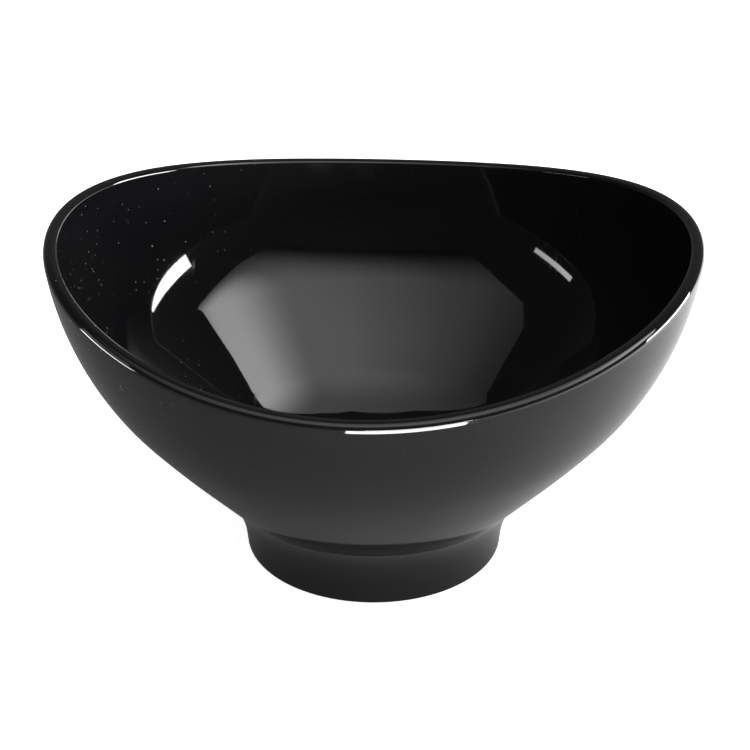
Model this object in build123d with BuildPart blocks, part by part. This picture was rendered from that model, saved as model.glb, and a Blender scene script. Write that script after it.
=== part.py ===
from build123d import *

import os
from math import atan2, radians, sin, tan

# Footed mixing bowl for hair colour, moulded in one piece.
#
# The bowl is round in plan and stands on a ring foot.  Its rim is cut by a wide
# cylinder that lies along Y, so the lip is low at the front and back and rises
# to the two ends at +X and -X.
#
# Millimetres.  Origin on the axis, in the plane that the foot rests on; +Z up.

os.makedirs("parts", exist_ok=True)

# Ring foot
foot_r = 33.1  # outer radius where it meets the table
crease_r = 34.45  # outer radius where the foot wall meets the bowl
crease_z = 12.65
cove_r = 28.0  # long hollow blend between the foot wall and the bowl
recess_r = 28.4  # radius of the hollow under the foot, at its mouth
recess_depth = 7.6
recess_draft = 1.2  # how much the recess narrows towards its roof
foot_edge_r = 0.4  # rounding of the foot's outer edge
recess_edge_r = 0.6  # rounding of the recess mouth
recess_corner_r = 1.5  # fillet where the recess wall meets its roof

# Outside of the bowl: a straight flank, then two arcs that bend up to the lip
flank_lean = 42.6  # degrees from vertical, where the flank leaves the foot
flank_z = 30.0  # height at which the straight flank ends
belly_r, belly_z = 62.8, 44.3  # where the slack arc meets the tight one
brim_r, brim_z = 80.4, 91.6  # top of the outside, above the highest lip

# Inside: parallel to the outside up the flank, then a tighter bend, so the wall thickens into the lip
wall = 1.8  # square to the surface, from the heel to the belly
shoulder_r, shoulder_z = 71.4, 64.0  # where the tight bend ends and the slack rise to the lip begins
lip_wall = 3.0  # at the top of the blank, measured level
heel_top_z = 26.0  # height at which the inside leaves the floor's heel and follows the flank
heel_r, heel_z = 34.6, 18.6  # where the shallow floor meets the tighter heel

# Rim
saddle_low = 75.4  # height of the lip at the front and back
saddle_r = 260.0  # radius of the cylinder that cuts the lip
lip_outer_r = 1.7
lip_inner_r = 1.2

# Points of the profile that follow from the sizes above
flank_slope = radians(90 - flank_lean)
flank_end_r = crease_r + (flank_z - crease_z) / tan(flank_slope)
heel_top_r = crease_r + (heel_top_z - crease_z) / tan(flank_slope) - wall / sin(flank_slope)
heel_slope = 2 * atan2(heel_top_z - heel_z, heel_top_r - heel_r) - flank_slope
floor_z = heel_z - heel_r * tan(heel_slope / 2)  # makes the floor level on the axis

with BuildPart() as bowl:
    # Half section, turned about Z
    with BuildSketch(Plane.XZ):
        with BuildLine():
            foot_wall = Line((foot_r, 0), (crease_r, crease_z))
            flank = Line(foot_wall @ 1, (flank_end_r, flank_z))
            lower_arc = TangentArc(flank @ 1, (belly_r, belly_z), tangent=flank % 1)
            upper_arc = TangentArc(lower_arc @ 1, (brim_r, brim_z), tangent=lower_arc % 1)
            brim = Line(upper_arc @ 1, (brim_r - lip_wall, brim_z))
            flank_in_top = flank @ 1 + (flank % 1).rotate(Axis.Z, 90) * wall
            belly_in = lower_arc @ 1 + (lower_arc % 1).rotate(Axis.Z, 90) * wall
            flank_in = Line((heel_top_r, heel_top_z), flank_in_top)
            side_in = TangentArc(flank_in @ 1, belly_in, tangent=flank_in % 1)
            bend_in = TangentArc(side_in @ 1, (shoulder_r, shoulder_z), tangent=side_in % 1)
            rise_in = TangentArc(bend_in @ 1, brim @ 1, tangent=bend_in % 1)
            heel_in = TangentArc(flank_in @ 0, (heel_r, heel_z), tangent=(flank_in % 0) * -1)
            floor_in = TangentArc(heel_in @ 1, (0, floor_z), tangent=heel_in % 1)
            axis_line = Line(floor_in @ 1, (0, recess_depth))
            roof = Line(axis_line @ 1, (recess_r - recess_draft, recess_depth))
            recess_wall = Line(roof @ 1, (recess_r, 0))
            Line(recess_wall @ 1, foot_wall @ 0)
        section = make_face()
        fillet(section.vertices().sort_by_distance((crease_r, crease_z))[0], cove_r)
    revolve(axis=Axis.Z)

    # Saddle: everything above the cylinder that lies along Y is cut away
    with BuildSketch(Plane.XZ):
        with Locations((0, saddle_low + saddle_r)):
            Circle(saddle_r)
    extrude(amount=brim_r + 1, both=True, mode=Mode.SUBTRACT)

    # Lip: the cut leaves one long edge outside and a shorter one inside
    lip_inner, lip_outer = bowl.edges().filter_by(GeomType.BSPLINE).sort_by(SortBy.LENGTH)[-2:]
    fillet(lip_outer, lip_outer_r)
    fillet(lip_inner, lip_inner_r)

    # Foot: outer and inner edge of the standing ring, and the roof of the recess
    standing_ring = bowl.faces().sort_by(Axis.Z)[0]
    recess_mouth, foot_edge = standing_ring.edges().sort_by(SortBy.LENGTH)
    recess_roof = bowl.faces().filter_by(GeomType.PLANE).sort_by(Axis.Z)[-1]
    fillet(foot_edge, foot_edge_r)
    fillet(recess_mouth, recess_edge_r)
    fillet(recess_roof.edges(), recess_corner_r)

bowl.part.label = "bowl"
export_step(bowl.part, "parts/bowl.step")
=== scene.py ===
"""Hair colour bowl: the visual model, its materials and a plain studio.

Metres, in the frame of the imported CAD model: +Z up, the bowl's axis at the
origin, the low side of the lip at -Y facing the camera.
"""

import math
import bmesh
import bpy
from mathutils import Matrix, Vector


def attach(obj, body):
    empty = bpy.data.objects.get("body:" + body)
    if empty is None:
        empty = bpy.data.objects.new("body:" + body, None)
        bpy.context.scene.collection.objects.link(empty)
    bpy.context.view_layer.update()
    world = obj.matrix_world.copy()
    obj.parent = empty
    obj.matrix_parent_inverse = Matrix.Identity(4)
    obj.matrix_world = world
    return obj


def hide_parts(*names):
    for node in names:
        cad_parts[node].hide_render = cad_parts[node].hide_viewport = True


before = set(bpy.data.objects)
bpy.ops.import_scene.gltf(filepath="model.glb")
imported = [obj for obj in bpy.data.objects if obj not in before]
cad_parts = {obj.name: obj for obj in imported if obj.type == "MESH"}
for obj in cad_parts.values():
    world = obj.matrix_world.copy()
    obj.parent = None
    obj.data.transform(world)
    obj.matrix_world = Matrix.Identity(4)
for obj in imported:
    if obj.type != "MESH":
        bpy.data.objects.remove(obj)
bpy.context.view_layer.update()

MM = 0.001
scene = bpy.context.scene

# ---------------------------------------------------------------- bowl profile
# The same sizes as the CAD part, in millimetres: (radius, height).
FOOT_R = 33.1
CREASE = (34.45, 12.65)
COVE_R = 28.0
RECESS_R, RECESS_DEPTH, RECESS_DRAFT = 28.4, 7.6, 1.2
FOOT_EDGE_R, RECESS_EDGE_R, RECESS_CORNER_R = 0.4, 0.6, 1.5
FLANK_LEAN, FLANK_Z = math.radians(42.6), 30.0
BELLY = (62.8, 44.3)
BRIM = (80.4, 91.6)
WALL, LIP_WALL = 1.8, 3.0
SHOULDER = (71.4, 64.0)
HEEL_TOP_Z, HEEL = 26.0, (34.6, 18.6)
SADDLE_LOW, SADDLE_R = 75.4, 260.0
LIP_OUTER_R, LIP_INNER_R = 1.7, 1.2


class Arc:
    """The arc that leaves start along tangent and ends at end."""

    def __init__(self, start, tangent, end):
        s, e, t = Vector(start), Vector(end), Vector(tangent).normalized()
        chord = e - s
        normal = Vector((-t.y, t.x))
        self.radius = chord.length_squared / (2 * chord.dot(normal))  # signed
        self.centre = s + normal * self.radius
        self.a0 = math.atan2(*(s - self.centre).yx)
        self.sweep = 2 * math.asin(chord.length / (2 * self.radius))
        self.end_tangent = (t * math.cos(self.sweep) + normal * math.sin(self.sweep))

    def at(self, f):
        a = self.a0 + self.sweep * f
        return self.centre + Vector((math.cos(a), math.sin(a))) * abs(self.radius)


lean = Vector((math.sin(FLANK_LEAN), math.cos(FLANK_LEAN)))  # up the flank
into_wall = Vector((-lean.y, lean.x))
flank_end = Vector((CREASE[0] + (FLANK_Z - CREASE[1]) * lean.x / lean.y, FLANK_Z))
lower = Arc(flank_end, lean, BELLY)
upper = Arc(BELLY, lower.end_tangent, BRIM)

# The inside: from the lip down a slack rise, the bend at the shoulder, the flank, the heel, the floor
flank_in_top = flank_end + into_wall * WALL
belly_in = Vector(BELLY) + Vector((-lower.end_tangent.y, lower.end_tangent.x)) * WALL
side = Arc(flank_in_top, lean, belly_in)
bend = Arc(belly_in, side.end_tangent, SHOULDER)
rise = Arc(SHOULDER, bend.end_tangent, (BRIM[0] - LIP_WALL, BRIM[1]))
heel_top = Vector((CREASE[0] + (HEEL_TOP_Z - CREASE[1]) * lean.x / lean.y - WALL / lean.y, HEEL_TOP_Z))
heel_chord = heel_top - Vector(HEEL)
heel_slope = 2 * math.atan2(heel_chord.y, heel_chord.x) - (math.pi / 2 - FLANK_LEAN)
floor_z = HEEL[1] - HEEL[0] * math.tan(heel_slope / 2)  # makes the floor level on the axis
floor_arc = Arc((0, floor_z), (1, 0), HEEL)
heel = Arc(HEEL, floor_arc.end_tangent, heel_top)

SADDLE_AXIS_Z = SADDLE_LOW + SADDLE_R

COLUMNS = 304  # mesh columns around the axis
# Rows of mesh up each side of the upper wall, round the lip's two fillets, and across its top
WALL_ROWS, OUTER_ROWS, INNER_ROWS, LIP_ROWS = 44, 10, 8, 5


def rounded(corner, before, after, r, steps):
    """The fillet of radius r at a corner of the path, as (point, normal) pairs."""
    c, p, q = Vector(corner), Vector(before), Vector(after)
    a, b = (p - c).normalized(), (q - c).normalized()
    half = math.acos(max(-1.0, min(1.0, a.dot(b)))) / 2
    centre = c + (a + b).normalized() * (r / math.sin(half))
    t0, t1 = c + a * (r / math.tan(half)), c + b * (r / math.tan(half))
    turn = (c - p).x * (q - c).y - (c - p).y * (q - c).x  # above 0 turns left
    u0, u1 = (t0 - centre) / r, (t1 - centre) / r
    out = []
    for k in range(steps + 1):
        u = slerp(u0, u1, k / steps)
        out.append((centre + u * r, u if turn > 0 else -u))
    return out


def slerp(u0, u1, f):
    w = math.acos(max(-1.0, min(1.0, u0.dot(u1))))
    if w < 1e-9:
        return u0.copy()
    return (u0 * math.sin((1 - f) * w) + u1 * math.sin(f * w)) / math.sin(w)


def straight(p, q, steps):
    """Points strictly between p and q, as (point, normal) pairs."""
    p, q = Vector(p), Vector(q)
    t = (q - p).normalized()
    return [(p.lerp(q, k / steps), Vector((t.y, -t.x))) for k in range(1, steps)]


def along(arc, f0, f1, steps, facing):
    """Points on an arc; facing is 1 for normals away from its centre, -1 for towards it."""
    out = []
    for k in range(steps + 1):
        p = arc.at(f0 + (f1 - f0) * k / steps)
        out.append((p, (p - arc.centre).normalized() * facing))
    return out


def flank_inside(steps):
    """Points strictly between the side arc and the heel, down the inside of the flank."""
    return [(p, -n) for p, n in reversed(straight(heel_top, flank_in_top, steps))]


def ring_rows():
    """The rows that are plain circles.

    The first list runs under the foot and up the outside to the belly, the
    second from the shoulder down the inside to the floor.
    """
    crease = Vector(CREASE)
    foot_out, mouth = Vector((FOOT_R, 0)), Vector((RECESS_R, 0))
    roof_edge = Vector((RECESS_R - RECESS_DRAFT, RECESS_DEPTH))
    roof_mid = Vector((0, RECESS_DEPTH))
    a = rounded(roof_edge, roof_mid, mouth, RECESS_CORNER_R, 8)
    b = rounded(mouth, roof_edge, foot_out, RECESS_EDGE_R, 6)
    c = rounded(foot_out, mouth, crease, FOOT_EDGE_R, 8)
    d = rounded(crease, foot_out, flank_end, COVE_R, 24)
    rows = straight(roof_mid, a[0][0], 8) + a + straight(a[-1][0], b[0][0], 4) + b
    rows += straight(b[-1][0], c[0][0], 4) + c + straight(c[-1][0], d[0][0], 12) + d
    rows += straight(d[-1][0], flank_end, 14)
    rows += along(lower, 0, 1, 14, 1)
    inside = along(bend, 1, 0, 28, -1) + along(side, 1, 0, 14, -1)[1:]
    inside += flank_inside(12) + along(heel, 1, 0, 12, -1) + along(floor_arc, 1, 0, 36, -1)[1:-1]
    return rows, inside


def ball(arc, ball_r, inward, cos_t):
    """Where a ball rests against an arc of the wall and the saddle at once.

    It works in the half plane whose angle has the cosine cos_t, and gives the
    ball's centre and its angle round the arc.
    """
    reach = abs(arc.radius) + (ball_r if inward else -ball_r)
    lo, hi = -1.2, 1.2
    for _ in range(60):
        mid = (lo + hi) / 2
        r = arc.centre.x + reach * math.cos(mid)
        z = arc.centre.y + reach * math.sin(mid)
        if math.hypot(r * cos_t, SADDLE_AXIS_Z - z) > SADDLE_R + ball_r:
            lo = mid
        else:
            hi = mid
    return Vector((r, z)), lo


def column(t, rows, inside):
    """One column of the skin at angle t, as positions and normals, from the recess roof to the bowl floor."""
    c, s = math.cos(t), math.sin(t)

    def turn(v):
        return Vector((v.x * c, v.x * s, v.y))

    out = [(turn(p), turn(n)) for p, n in rows]
    centre, phi = ball(upper, LIP_OUTER_R, False, c)
    phi0 = math.atan2(BELLY[1] - upper.centre.y, BELLY[0] - upper.centre.x)
    for k in range(1, WALL_ROWS):
        a = phi0 + (phi - phi0) * k / WALL_ROWS
        u = Vector((math.cos(a), math.sin(a)))
        out.append((turn(upper.centre + u * abs(upper.radius)), turn(u)))
    u = (centre - upper.centre).normalized()
    out += lip_round(turn(centre), turn(u), LIP_OUTER_R, OUTER_ROWS)
    centre, phi = ball(rise, LIP_INNER_R, True, c)
    u = (rise.centre - centre).normalized()
    inner = lip_round(turn(centre), turn(u), LIP_INNER_R, INNER_ROWS)[::-1]
    p, q = out[-1][0], inner[0][0]
    for k in range(1, LIP_ROWS):
        v = p.lerp(q, k / LIP_ROWS)
        v.z = SADDLE_AXIS_Z - math.sqrt(SADDLE_R**2 - v.x**2)
        out.append((v, saddle_normal(v)))
    out += inner
    phi1 = math.atan2(SHOULDER[1] - rise.centre.y, SHOULDER[0] - rise.centre.x)
    for k in range(1, WALL_ROWS):
        a = phi + (phi1 - phi) * k / WALL_ROWS
        u = Vector((math.cos(a), math.sin(a)))
        out.append((turn(rise.centre + u * abs(rise.radius)), turn(-u)))
    return out + [(turn(p), turn(n)) for p, n in inside]


def saddle_normal(v):
    return Vector((-v.x, 0, SADDLE_AXIS_Z - v.z)).normalized()


def lip_round(centre, side_normal, r, steps):
    """The lip's fillet: from the wall, where the normal is side_normal, over to the saddle."""
    top = saddle_normal(centre)
    out = []
    for k in range(steps + 1):
        n = slerp(side_normal, top, k / steps)
        out.append((centre + n * r, n))
    return out


def build_bowl():
    rows, inside = ring_rows()
    columns = [column(2 * math.pi * i / COLUMNS, rows, inside) for i in range(COLUMNS)]
    depth = len(columns[0])
    bm = bmesh.new()
    verts = [[bm.verts.new(p * MM) for p, _ in col] for col in columns]
    roof_mid = bm.verts.new((0, 0, RECESS_DEPTH * MM))
    floor_mid = bm.verts.new((0, 0, floor_z * MM))
    for i in range(COLUMNS):
        a, b = verts[i], verts[(i + 1) % COLUMNS]
        bm.faces.new((roof_mid, b[0], a[0]))
        for k in range(depth - 1):
            bm.faces.new((a[k], b[k], b[k + 1], a[k + 1]))
        bm.faces.new((a[-1], b[-1], floor_mid))
    normals = [n for col in columns for _, n in col]
    normals += [Vector((0, 0, -1)), Vector((0, 0, 1))]
    mesh = bpy.data.meshes.new("bowl_skin")
    bm.normal_update()
    bm.to_mesh(mesh)
    bm.free()
    for poly in mesh.polygons:
        poly.use_smooth = True
    mesh.normals_split_custom_set_from_vertices([n.normalized() for n in normals])
    bowl = bpy.data.objects.new("bowl_skin", mesh)
    scene.collection.objects.link(bowl)
    return bowl


bowl = build_bowl()

# ------------------------------------------------------------------- materials
BLACK_DEEP, BLACK_PALE = (0.0050, 0.0050, 0.0058, 1), (0.0072, 0.0071, 0.0076, 1)
DUST = (0.17, 0.165, 0.155, 1)
HAZE_CLEAR, HAZE_CLOUDY = 0.028, 0.048  # roughness of the polished skin
# Roughness that each of these adds
SCRATCH_ROUGH, FOOT_ROUGH, DUST_ROUGH = 0.05, 0.16, 0.5
FOOT_FADE_Z = CREASE[1] * MM * 0.7  # the foot's duller skin fades out by this height
# Dust: cells per metre, size of the largest specks in cells, share of the cells that carry one
FINE_DUST, COARSE_DUST = (760.0, 0.17, 0.5), (150.0, 0.018, 0.12)
DUST_THIN_X, DUST_THICK_X = -0.030, -0.062  # fine dust thickens from here to here, to the left
PEEL_STRENGTH, PEEL_DEPTH = 0.05, 0.00004
PLASTIC_IOR = 1.5


def material(name):
    m = bpy.data.materials.new(name)
    m.use_nodes = True
    return m, m.node_tree.nodes, m.node_tree.links, m.node_tree.nodes["Principled BSDF"]


def math_node(n, links, kind, *inputs):
    node = n.new("ShaderNodeMath")
    node.operation = kind
    for slot, value in zip(node.inputs, inputs):
        if isinstance(value, (int, float)):
            slot.default_value = value
        else:
            links.new(value, slot)
    return node.outputs[0]


def noise(n, links, place, scale, detail=2.0, stretch=(1, 1, 1)):
    """Fractal noise in object space; the scale is in cycles per metre."""
    mapping = n.new("ShaderNodeMapping")
    mapping.inputs["Scale"].default_value = stretch
    links.new(place, mapping.inputs["Vector"])
    node = n.new("ShaderNodeTexNoise")
    node.inputs["Scale"].default_value = scale
    node.inputs["Detail"].default_value = detail
    links.new(mapping.outputs["Vector"], node.inputs["Vector"])
    return node.outputs["Fac"]


def between(n, links, value, low, high, to_low=0.0, to_high=1.0):
    """value, stretched smoothly from low..high to to_low..to_high."""
    node = n.new("ShaderNodeMapRange")
    node.interpolation_type = "SMOOTHSTEP"
    links.new(value, node.inputs["Value"])
    ends = {"From Min": low, "From Max": high, "To Min": to_low, "To Max": to_high}
    for name, number in ends.items():
        node.inputs[name].default_value = number
    return node.outputs["Result"]


def dust(n, links, place, scale, size, share):
    """Round specks, in scale cells per metre, of which only share carry one of up to size cells."""
    node = n.new("ShaderNodeTexVoronoi")
    node.inputs["Scale"].default_value = scale
    links.new(place, node.inputs["Vector"])
    cell = n.new("ShaderNodeSeparateColor")
    links.new(node.outputs["Color"], cell.inputs["Color"])
    chosen = math_node(n, links, "LESS_THAN", cell.outputs["Red"], share)
    grain = math_node(n, links, "MULTIPLY", cell.outputs["Green"], size)
    inside = math_node(n, links, "LESS_THAN", node.outputs["Distance"], grain)
    return math_node(n, links, "MULTIPLY", chosen, inside)


def gloss_black():
    """Polished black moulding: flow marks, orange peel, hair scratches, sparse dust, a duller foot."""
    m, n, links, shader = material("bowl_gloss")
    place = n.new("ShaderNodeTexCoord").outputs["Object"]
    split = n.new("ShaderNodeSeparateXYZ")
    links.new(place, split.inputs[0])
    height = split.outputs["Z"]

    # The sides of the foot and the recess come off a rougher part of the mould
    foot = between(n, links, height, FOOT_FADE_Z, 0.0)
    flow = noise(n, links, place, 22.0, 3.0, (1, 1, 2.6))
    cloud = noise(n, links, place, 140.0, 4.0)
    at_left = between(n, links, split.outputs["X"], DUST_THIN_X, DUST_THICK_X, 0.1, 1.0)
    patches = between(n, links, noise(n, links, place, 45.0, 1.0), 0.46, 0.58)
    settled = math_node(n, links, "MULTIPLY", patches, at_left)
    crowd = math_node(n, links, "MULTIPLY", dust(n, links, place, *FINE_DUST), settled)
    specks = math_node(n, links, "MAXIMUM", dust(n, links, place, *COARSE_DUST), crowd)
    thread = noise(n, links, place, 900.0, 0.0, (1, 0.03, 0.2))
    scratch = between(n, links, thread, 0.735, 0.76)

    tint = n.new("ShaderNodeMix")
    tint.data_type = "RGBA"
    links.new(between(n, links, flow, 0.3, 0.7), tint.inputs["Factor"])
    tint.inputs["A"].default_value = BLACK_DEEP
    tint.inputs["B"].default_value = BLACK_PALE
    dusty = n.new("ShaderNodeMix")
    dusty.data_type = "RGBA"
    links.new(specks, dusty.inputs["Factor"])
    links.new(tint.outputs["Result"], dusty.inputs["A"])
    dusty.inputs["B"].default_value = DUST
    links.new(dusty.outputs["Result"], shader.inputs["Base Color"])

    haze = between(n, links, cloud, 0.35, 0.75, HAZE_CLEAR, HAZE_CLOUDY)
    worn = math_node(n, links, "MULTIPLY_ADD", scratch, SCRATCH_ROUGH, haze)
    dull = math_node(n, links, "MULTIPLY_ADD", foot, FOOT_ROUGH, worn)
    rough = math_node(n, links, "MULTIPLY_ADD", specks, DUST_ROUGH, dull)
    links.new(rough, shader.inputs["Roughness"])

    peel = n.new("ShaderNodeBump")
    peel.inputs["Strength"].default_value = PEEL_STRENGTH
    peel.inputs["Distance"].default_value = PEEL_DEPTH
    links.new(noise(n, links, place, 260.0, 1.0), peel.inputs["Height"])
    links.new(peel.outputs["Normal"], shader.inputs["Normal"])
    shader.inputs["IOR"].default_value = PLASTIC_IOR
    return m


bowl.data.materials.append(gloss_black())

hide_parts("bowl")
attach(bowl, "root")

# ----------------------------------------------------------------- the studio
FLOOR_HALF = 6.0  # metres, half the side of the floor
FLOOR_BACKLIGHT = 0.9  # the table is lit from below, so the bowl's shadow stays faint
FLOOR_WHITE = (0.9, 0.9, 0.9, 1)

# How bright the table looks round the bowl, as painted light, with the bowl's shadow painted in as the dim
# stretch on the left: degrees turned from +Y towards +X, radiance
PAINTED_LIGHT_BY_AZIMUTH = [
    (-180, 0.53), (-157, 0.40), (-135, 0.31), (-90, 0.23), (-20, 0.20), (5, 0.75),
    (30, 1.0), (90, 1.0), (120, 0.80), (150, 0.61), (180, 0.53),
]

# Bright stretches of table, in plan, and their radiance
TABLE_LIGHT_Z = 0.002
FRONT_LIGHT = [(-0.010, -0.14), (-0.13, -1.50), (0.68, -1.28), (0.066, -0.125)]
LEFT_LIGHT = [(-0.331, -0.114), (-0.348, 0.037), (-1.49, 0.157), (-1.42, -0.49)]
FRONT_RADIANCE, LEFT_RADIANCE = 26.0, 14.0

# The panel overhead, in plan, and how bright it is from its left end to its right end
PANEL_HEIGHT = 1.0
PANEL_CORNERS = [
    (-1.0, -1.16), (-1.07, -0.5), (-1.14, -0.14), (-1.24, 0.03), (-1.12, 0.05),
    (-0.96, 0.22), (-0.3, 0.19), (0.1, 0.19), (0.3, 0.28), (0.85, 0.37),
    (1.24, 0.27), (1.5, 0.35), (1.54, -0.08), (1.57, -0.6), (1.42, -1.16),
]
PANEL_LEFT, PANEL_RIGHT = -1.35, 1.65
PANEL_SIDEWAYS = [
    (0.0, 0.2), (0.12, 0.25), (0.28, 0.45), (0.42, 0.8),
    (0.52, 1.0), (0.68, 0.98), (0.8, 0.75), (1.0, 0.2),
]
SOFT_RADIANCE, HOT_RADIANCE = 2.05, 5.6
HOT_SPOT = (1.08, 0.18, PANEL_HEIGHT)

ROOM_DARK, ROOM_BEYOND = 0.035, 0.12  # strength of the room's light towards -Y and towards +Y


def sheet_mesh(name, width, depth):
    """A flat rectangle in its own XY plane, centred on its origin."""
    bm = bmesh.new()
    corners = [(-1, -1), (1, -1), (1, 1), (-1, 1)]
    bm.faces.new([bm.verts.new((x * width / 2, y * depth / 2, 0)) for x, y in corners])
    mesh = bpy.data.meshes.new(name)
    bm.to_mesh(mesh)
    bm.free()
    sheet = bpy.data.objects.new(name, mesh)
    scene.collection.objects.link(sheet)
    return sheet


def seen_by(thing, camera=False, diffuse=False, glossy=False, shadow=False):
    thing.visible_camera = camera
    thing.visible_diffuse = diffuse
    thing.visible_glossy = glossy
    thing.visible_shadow = shadow
    thing.visible_transmission = camera


def glow(name):
    """An emission material: its nodes, links and emission node."""
    m = bpy.data.materials.new(name)
    m.use_nodes = True
    n = m.node_tree.nodes
    n.clear()
    emit, out = n.new("ShaderNodeEmission"), n.new("ShaderNodeOutputMaterial")
    m.node_tree.links.new(emit.outputs[0], out.inputs["Surface"])
    return m, n, m.node_tree.links, emit


def ramp(n, stops):
    """A colour ramp of greys, as a multiplier: stops are (place, value)."""
    node = n.new("ShaderNodeValToRGB")
    marks = node.color_ramp.elements
    while len(marks) < len(stops):
        marks.new(0.5)
    for mark, (place, value) in zip(marks, stops):
        mark.position = place
        mark.color = (value, value, value, 1)
    return node


def build_floor():
    """The white table: the camera and the lights meet it, reflections don't."""
    floor = sheet_mesh("floor", 2 * FLOOR_HALF, 2 * FLOOR_HALF)
    m, _, _, shader = material("floor_white")
    shader.inputs["Base Color"].default_value = FLOOR_WHITE
    shader.inputs["Roughness"].default_value = 0.9
    shader.inputs["Emission Color"].default_value = (1, 1, 1, 1)
    shader.inputs["Emission Strength"].default_value = FLOOR_BACKLIGHT
    floor.data.materials.append(m)
    seen_by(floor, camera=True, diffuse=True, shadow=True)


def build_floor_glow():
    """What the gloss sees of the table, as painted light: lit from the right, with the bowl's shadow painted
    on the left and round its foot.
    """
    sheet = sheet_mesh("floor_glow", 2 * FLOOR_HALF, 2 * FLOOR_HALF)
    m, n, links, emit = glow("floor_glow")
    place = n.new("ShaderNodeTexCoord")
    split = n.new("ShaderNodeSeparateXYZ")
    links.new(place.outputs["Object"], split.inputs[0])
    length = n.new("ShaderNodeVectorMath")
    length.operation = "LENGTH"
    links.new(place.outputs["Object"], length.inputs[0])
    r = length.outputs["Value"]
    azimuth = math_node(n, links, "ARCTAN2", split.outputs["X"], split.outputs["Y"])
    round_it = ramp(n, [(turn / 360 + 0.5, value) for turn, value in PAINTED_LIGHT_BY_AZIMUTH])
    share_of_turn = math_node(n, links, "MULTIPLY_ADD", azimuth, 1 / (2 * math.pi), 0.5)
    links.new(share_of_turn, round_it.inputs["Fac"])
    # painted shade: the glow dims to 0.4 right round the foot, where the bowl's shadow would fall
    painted_shade_near_foot = between(n, links, r, 0.035, 0.15, 0.4, 1.0)
    rightness = math_node(n, links, "DIVIDE", split.outputs["X"], r)
    to_right = math_node(n, links, "MAXIMUM", rightness, 0.0)
    # painted light: the table brightens far out to the right
    far = between(n, links, r, 0.13, 0.33, 0.0, 3.0)
    beyond = math_node(n, links, "MULTIPLY", far, math_node(n, links, "POWER", to_right, 2.0))
    boost = math_node(n, links, "ADD", painted_shade_near_foot, beyond)
    total = math_node(n, links, "MULTIPLY", round_it.outputs["Color"], boost)
    links.new(total, emit.inputs["Strength"])
    sheet.data.materials.append(m)
    seen_by(sheet, glossy=True)


def flat_shape(name, corners, z):
    """A level polygon of the stage, facing up, with its corners given in plan."""
    bm = bmesh.new()
    bm.faces.new([bm.verts.new((x, y, z)) for x, y in corners])
    mesh = bpy.data.meshes.new(name)
    bm.to_mesh(mesh)
    bm.free()
    shape = bpy.data.objects.new(name, mesh)
    scene.collection.objects.link(shape)
    return shape


def build_table_light(name, corners, radiance):
    """A bright stretch of table, which only the lip mirrors, as the highlights on its outer edge."""
    shape = flat_shape(name, corners, TABLE_LIGHT_Z)
    m, _, _, emit = glow(name)
    emit.inputs["Strength"].default_value = radiance
    shape.data.materials.append(m)
    seen_by(shape, glossy=True)


def build_overhead():
    """A wide panel above the bowl, with a soft front edge and a hot spot at the back right."""
    panel = flat_shape("overhead", PANEL_CORNERS, PANEL_HEIGHT)
    m, n, links, emit = glow("overhead")
    place = n.new("ShaderNodeTexCoord")
    split = n.new("ShaderNodeSeparateXYZ")
    links.new(place.outputs["Object"], split.inputs[0])
    x, y = split.outputs["X"], split.outputs["Y"]
    from_left = math_node(n, links, "SUBTRACT", x, PANEL_LEFT)
    place_x = math_node(n, links, "DIVIDE", from_left, PANEL_RIGHT - PANEL_LEFT)
    sideways = ramp(n, PANEL_SIDEWAYS)
    links.new(place_x, sideways.inputs["Fac"])
    front = between(n, links, y, -1.14, -0.44)
    back_y = between(n, links, y, -0.45, 0.15, 1.0, 0.55)
    fade_y = math_node(n, links, "MULTIPLY", front, back_y)
    soft = math_node(n, links, "MULTIPLY", sideways.outputs["Color"], fade_y)
    soft = math_node(n, links, "MULTIPLY", soft, SOFT_RADIANCE)

    away = n.new("ShaderNodeVectorMath")
    away.operation = "DISTANCE"
    links.new(place.outputs["Object"], away.inputs[0])
    away.inputs[1].default_value = HOT_SPOT
    spot = between(n, links, away.outputs["Value"], 0.78, 0.12)
    spot = math_node(n, links, "MULTIPLY", spot, between(n, links, x, 1.66, 1.25))
    total = math_node(n, links, "MULTIPLY_ADD", spot, HOT_RADIANCE, soft)
    links.new(total, emit.inputs["Strength"])
    panel.data.materials.append(m)
    seen_by(panel, diffuse=True, glossy=True)


def softbox(name, near_end, far_end, width, radiance, aim=(0, 0, 0.06)):
    """A strip light between two points that faces the bowl, given by its radiance, not its watts."""
    near_end, far_end = Vector(near_end), Vector(far_end)
    data = bpy.data.lights.new(name, "AREA")
    data.shape = "RECTANGLE"
    long_way = far_end - near_end
    data.size, data.size_y = long_way.length, width
    data.energy = radiance * math.pi * data.size * data.size_y
    lamp = bpy.data.objects.new(name, data)
    scene.collection.objects.link(lamp)
    place = (near_end + far_end) / 2
    x_axis = long_way.normalized()
    z_axis = place - Vector(aim)
    z_axis = (z_axis - x_axis * z_axis.dot(x_axis)).normalized()
    y_axis = z_axis.cross(x_axis)
    lamp.matrix_world = Matrix((x_axis, y_axis, z_axis)).transposed().to_4x4()
    lamp.matrix_world.translation = place
    lamp.visible_camera = False


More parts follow.
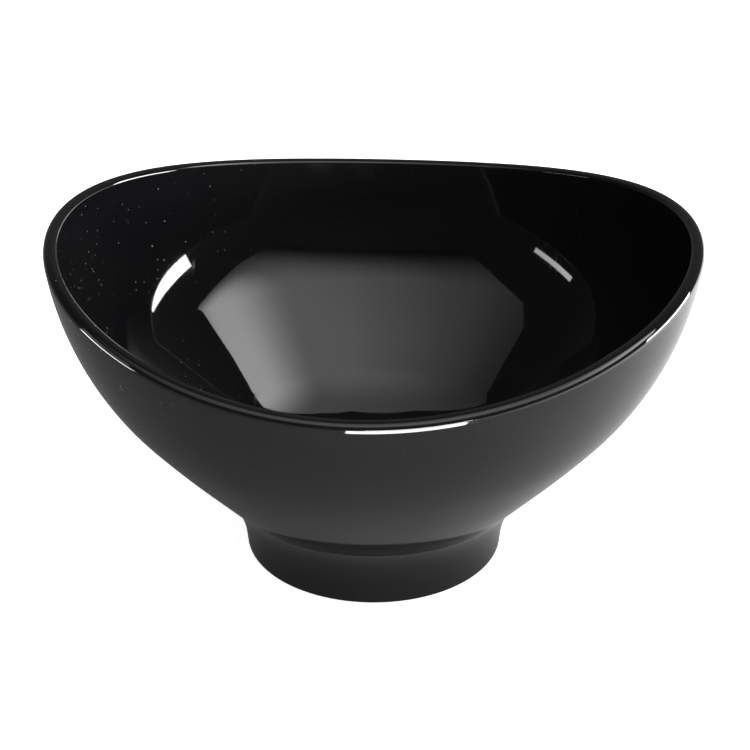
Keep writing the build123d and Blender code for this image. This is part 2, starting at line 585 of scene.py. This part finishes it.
def build_backdrop():
    """A pale surround that only the camera meets, so no view ends in a dark horizon."""
    bm = bmesh.new()
    bmesh.ops.create_uvsphere(bm, u_segments=64, v_segments=32, radius=0.95 * FLOOR_HALF)
    bmesh.ops.reverse_faces(bm, faces=bm.faces)
    mesh = bpy.data.meshes.new("backdrop")
    bm.to_mesh(mesh)
    bm.free()
    backdrop = bpy.data.objects.new("backdrop", mesh)
    scene.collection.objects.link(backdrop)
    m, _, _, emit = glow("backdrop")
    emit.inputs["Strength"].default_value = 1.0
    mesh.materials.append(m)
    seen_by(backdrop, camera=True)


def build_world():
    """A dark room, a little lighter beyond the bowl."""
    world = bpy.data.worlds.new("studio")
    scene.world = world
    world.use_nodes = True
    n, links = world.node_tree.nodes, world.node_tree.links
    split = n.new("ShaderNodeSeparateXYZ")
    links.new(n.new("ShaderNodeTexCoord").outputs["Generated"], split.inputs[0])
    strength = between(n, links, split.outputs["Y"], 0.2, 1.0, ROOM_DARK, ROOM_BEYOND)
    links.new(strength, n["Background"].inputs["Strength"])
    n["Background"].inputs["Color"].default_value = (1, 1, 1, 1)


build_floor()
build_floor_glow()
build_table_light("table_light_front", FRONT_LIGHT, FRONT_RADIANCE)
build_table_light("table_light_left", LEFT_LIGHT, LEFT_RADIANCE)
build_overhead()
softbox("key_right", (0.94, 0.02, 0.22), (0.94, 0.56, 0.22), 0.28, 25)
softbox("strip_left", (-0.96, -0.32, 0.38), (-0.96, 0.08, 0.365), 0.04, 8)
softbox("behind_camera", (0.0, -1.25, 0.12), (0.62, -1.09, 0.12), 0.08, 30)
build_backdrop()
build_world()

# ---------------------------------------------------------------- the camera
CAM_DISTANCE, CAM_ELEVATION, CAM_TURN = 0.4991, math.radians(27.64), math.radians(3.28)
CAM_TARGET = Vector((0.0003, 0, 0.0469))

camera_data = bpy.data.cameras.new("camera")
camera_data.lens, camera_data.sensor_width = 94.6, 36
camera = bpy.data.objects.new("camera", camera_data)
scene.collection.objects.link(camera)
back = Vector(
    (
        math.sin(CAM_TURN) * math.cos(CAM_ELEVATION),
        -math.cos(CAM_TURN) * math.cos(CAM_ELEVATION),
        math.sin(CAM_ELEVATION),
    )
)
camera.location = CAM_TARGET + back * CAM_DISTANCE
camera.rotation_euler = (-back).to_track_quat("-Z", "Y").to_euler()
scene.camera = camera

scene.view_settings.view_transform = "Standard"
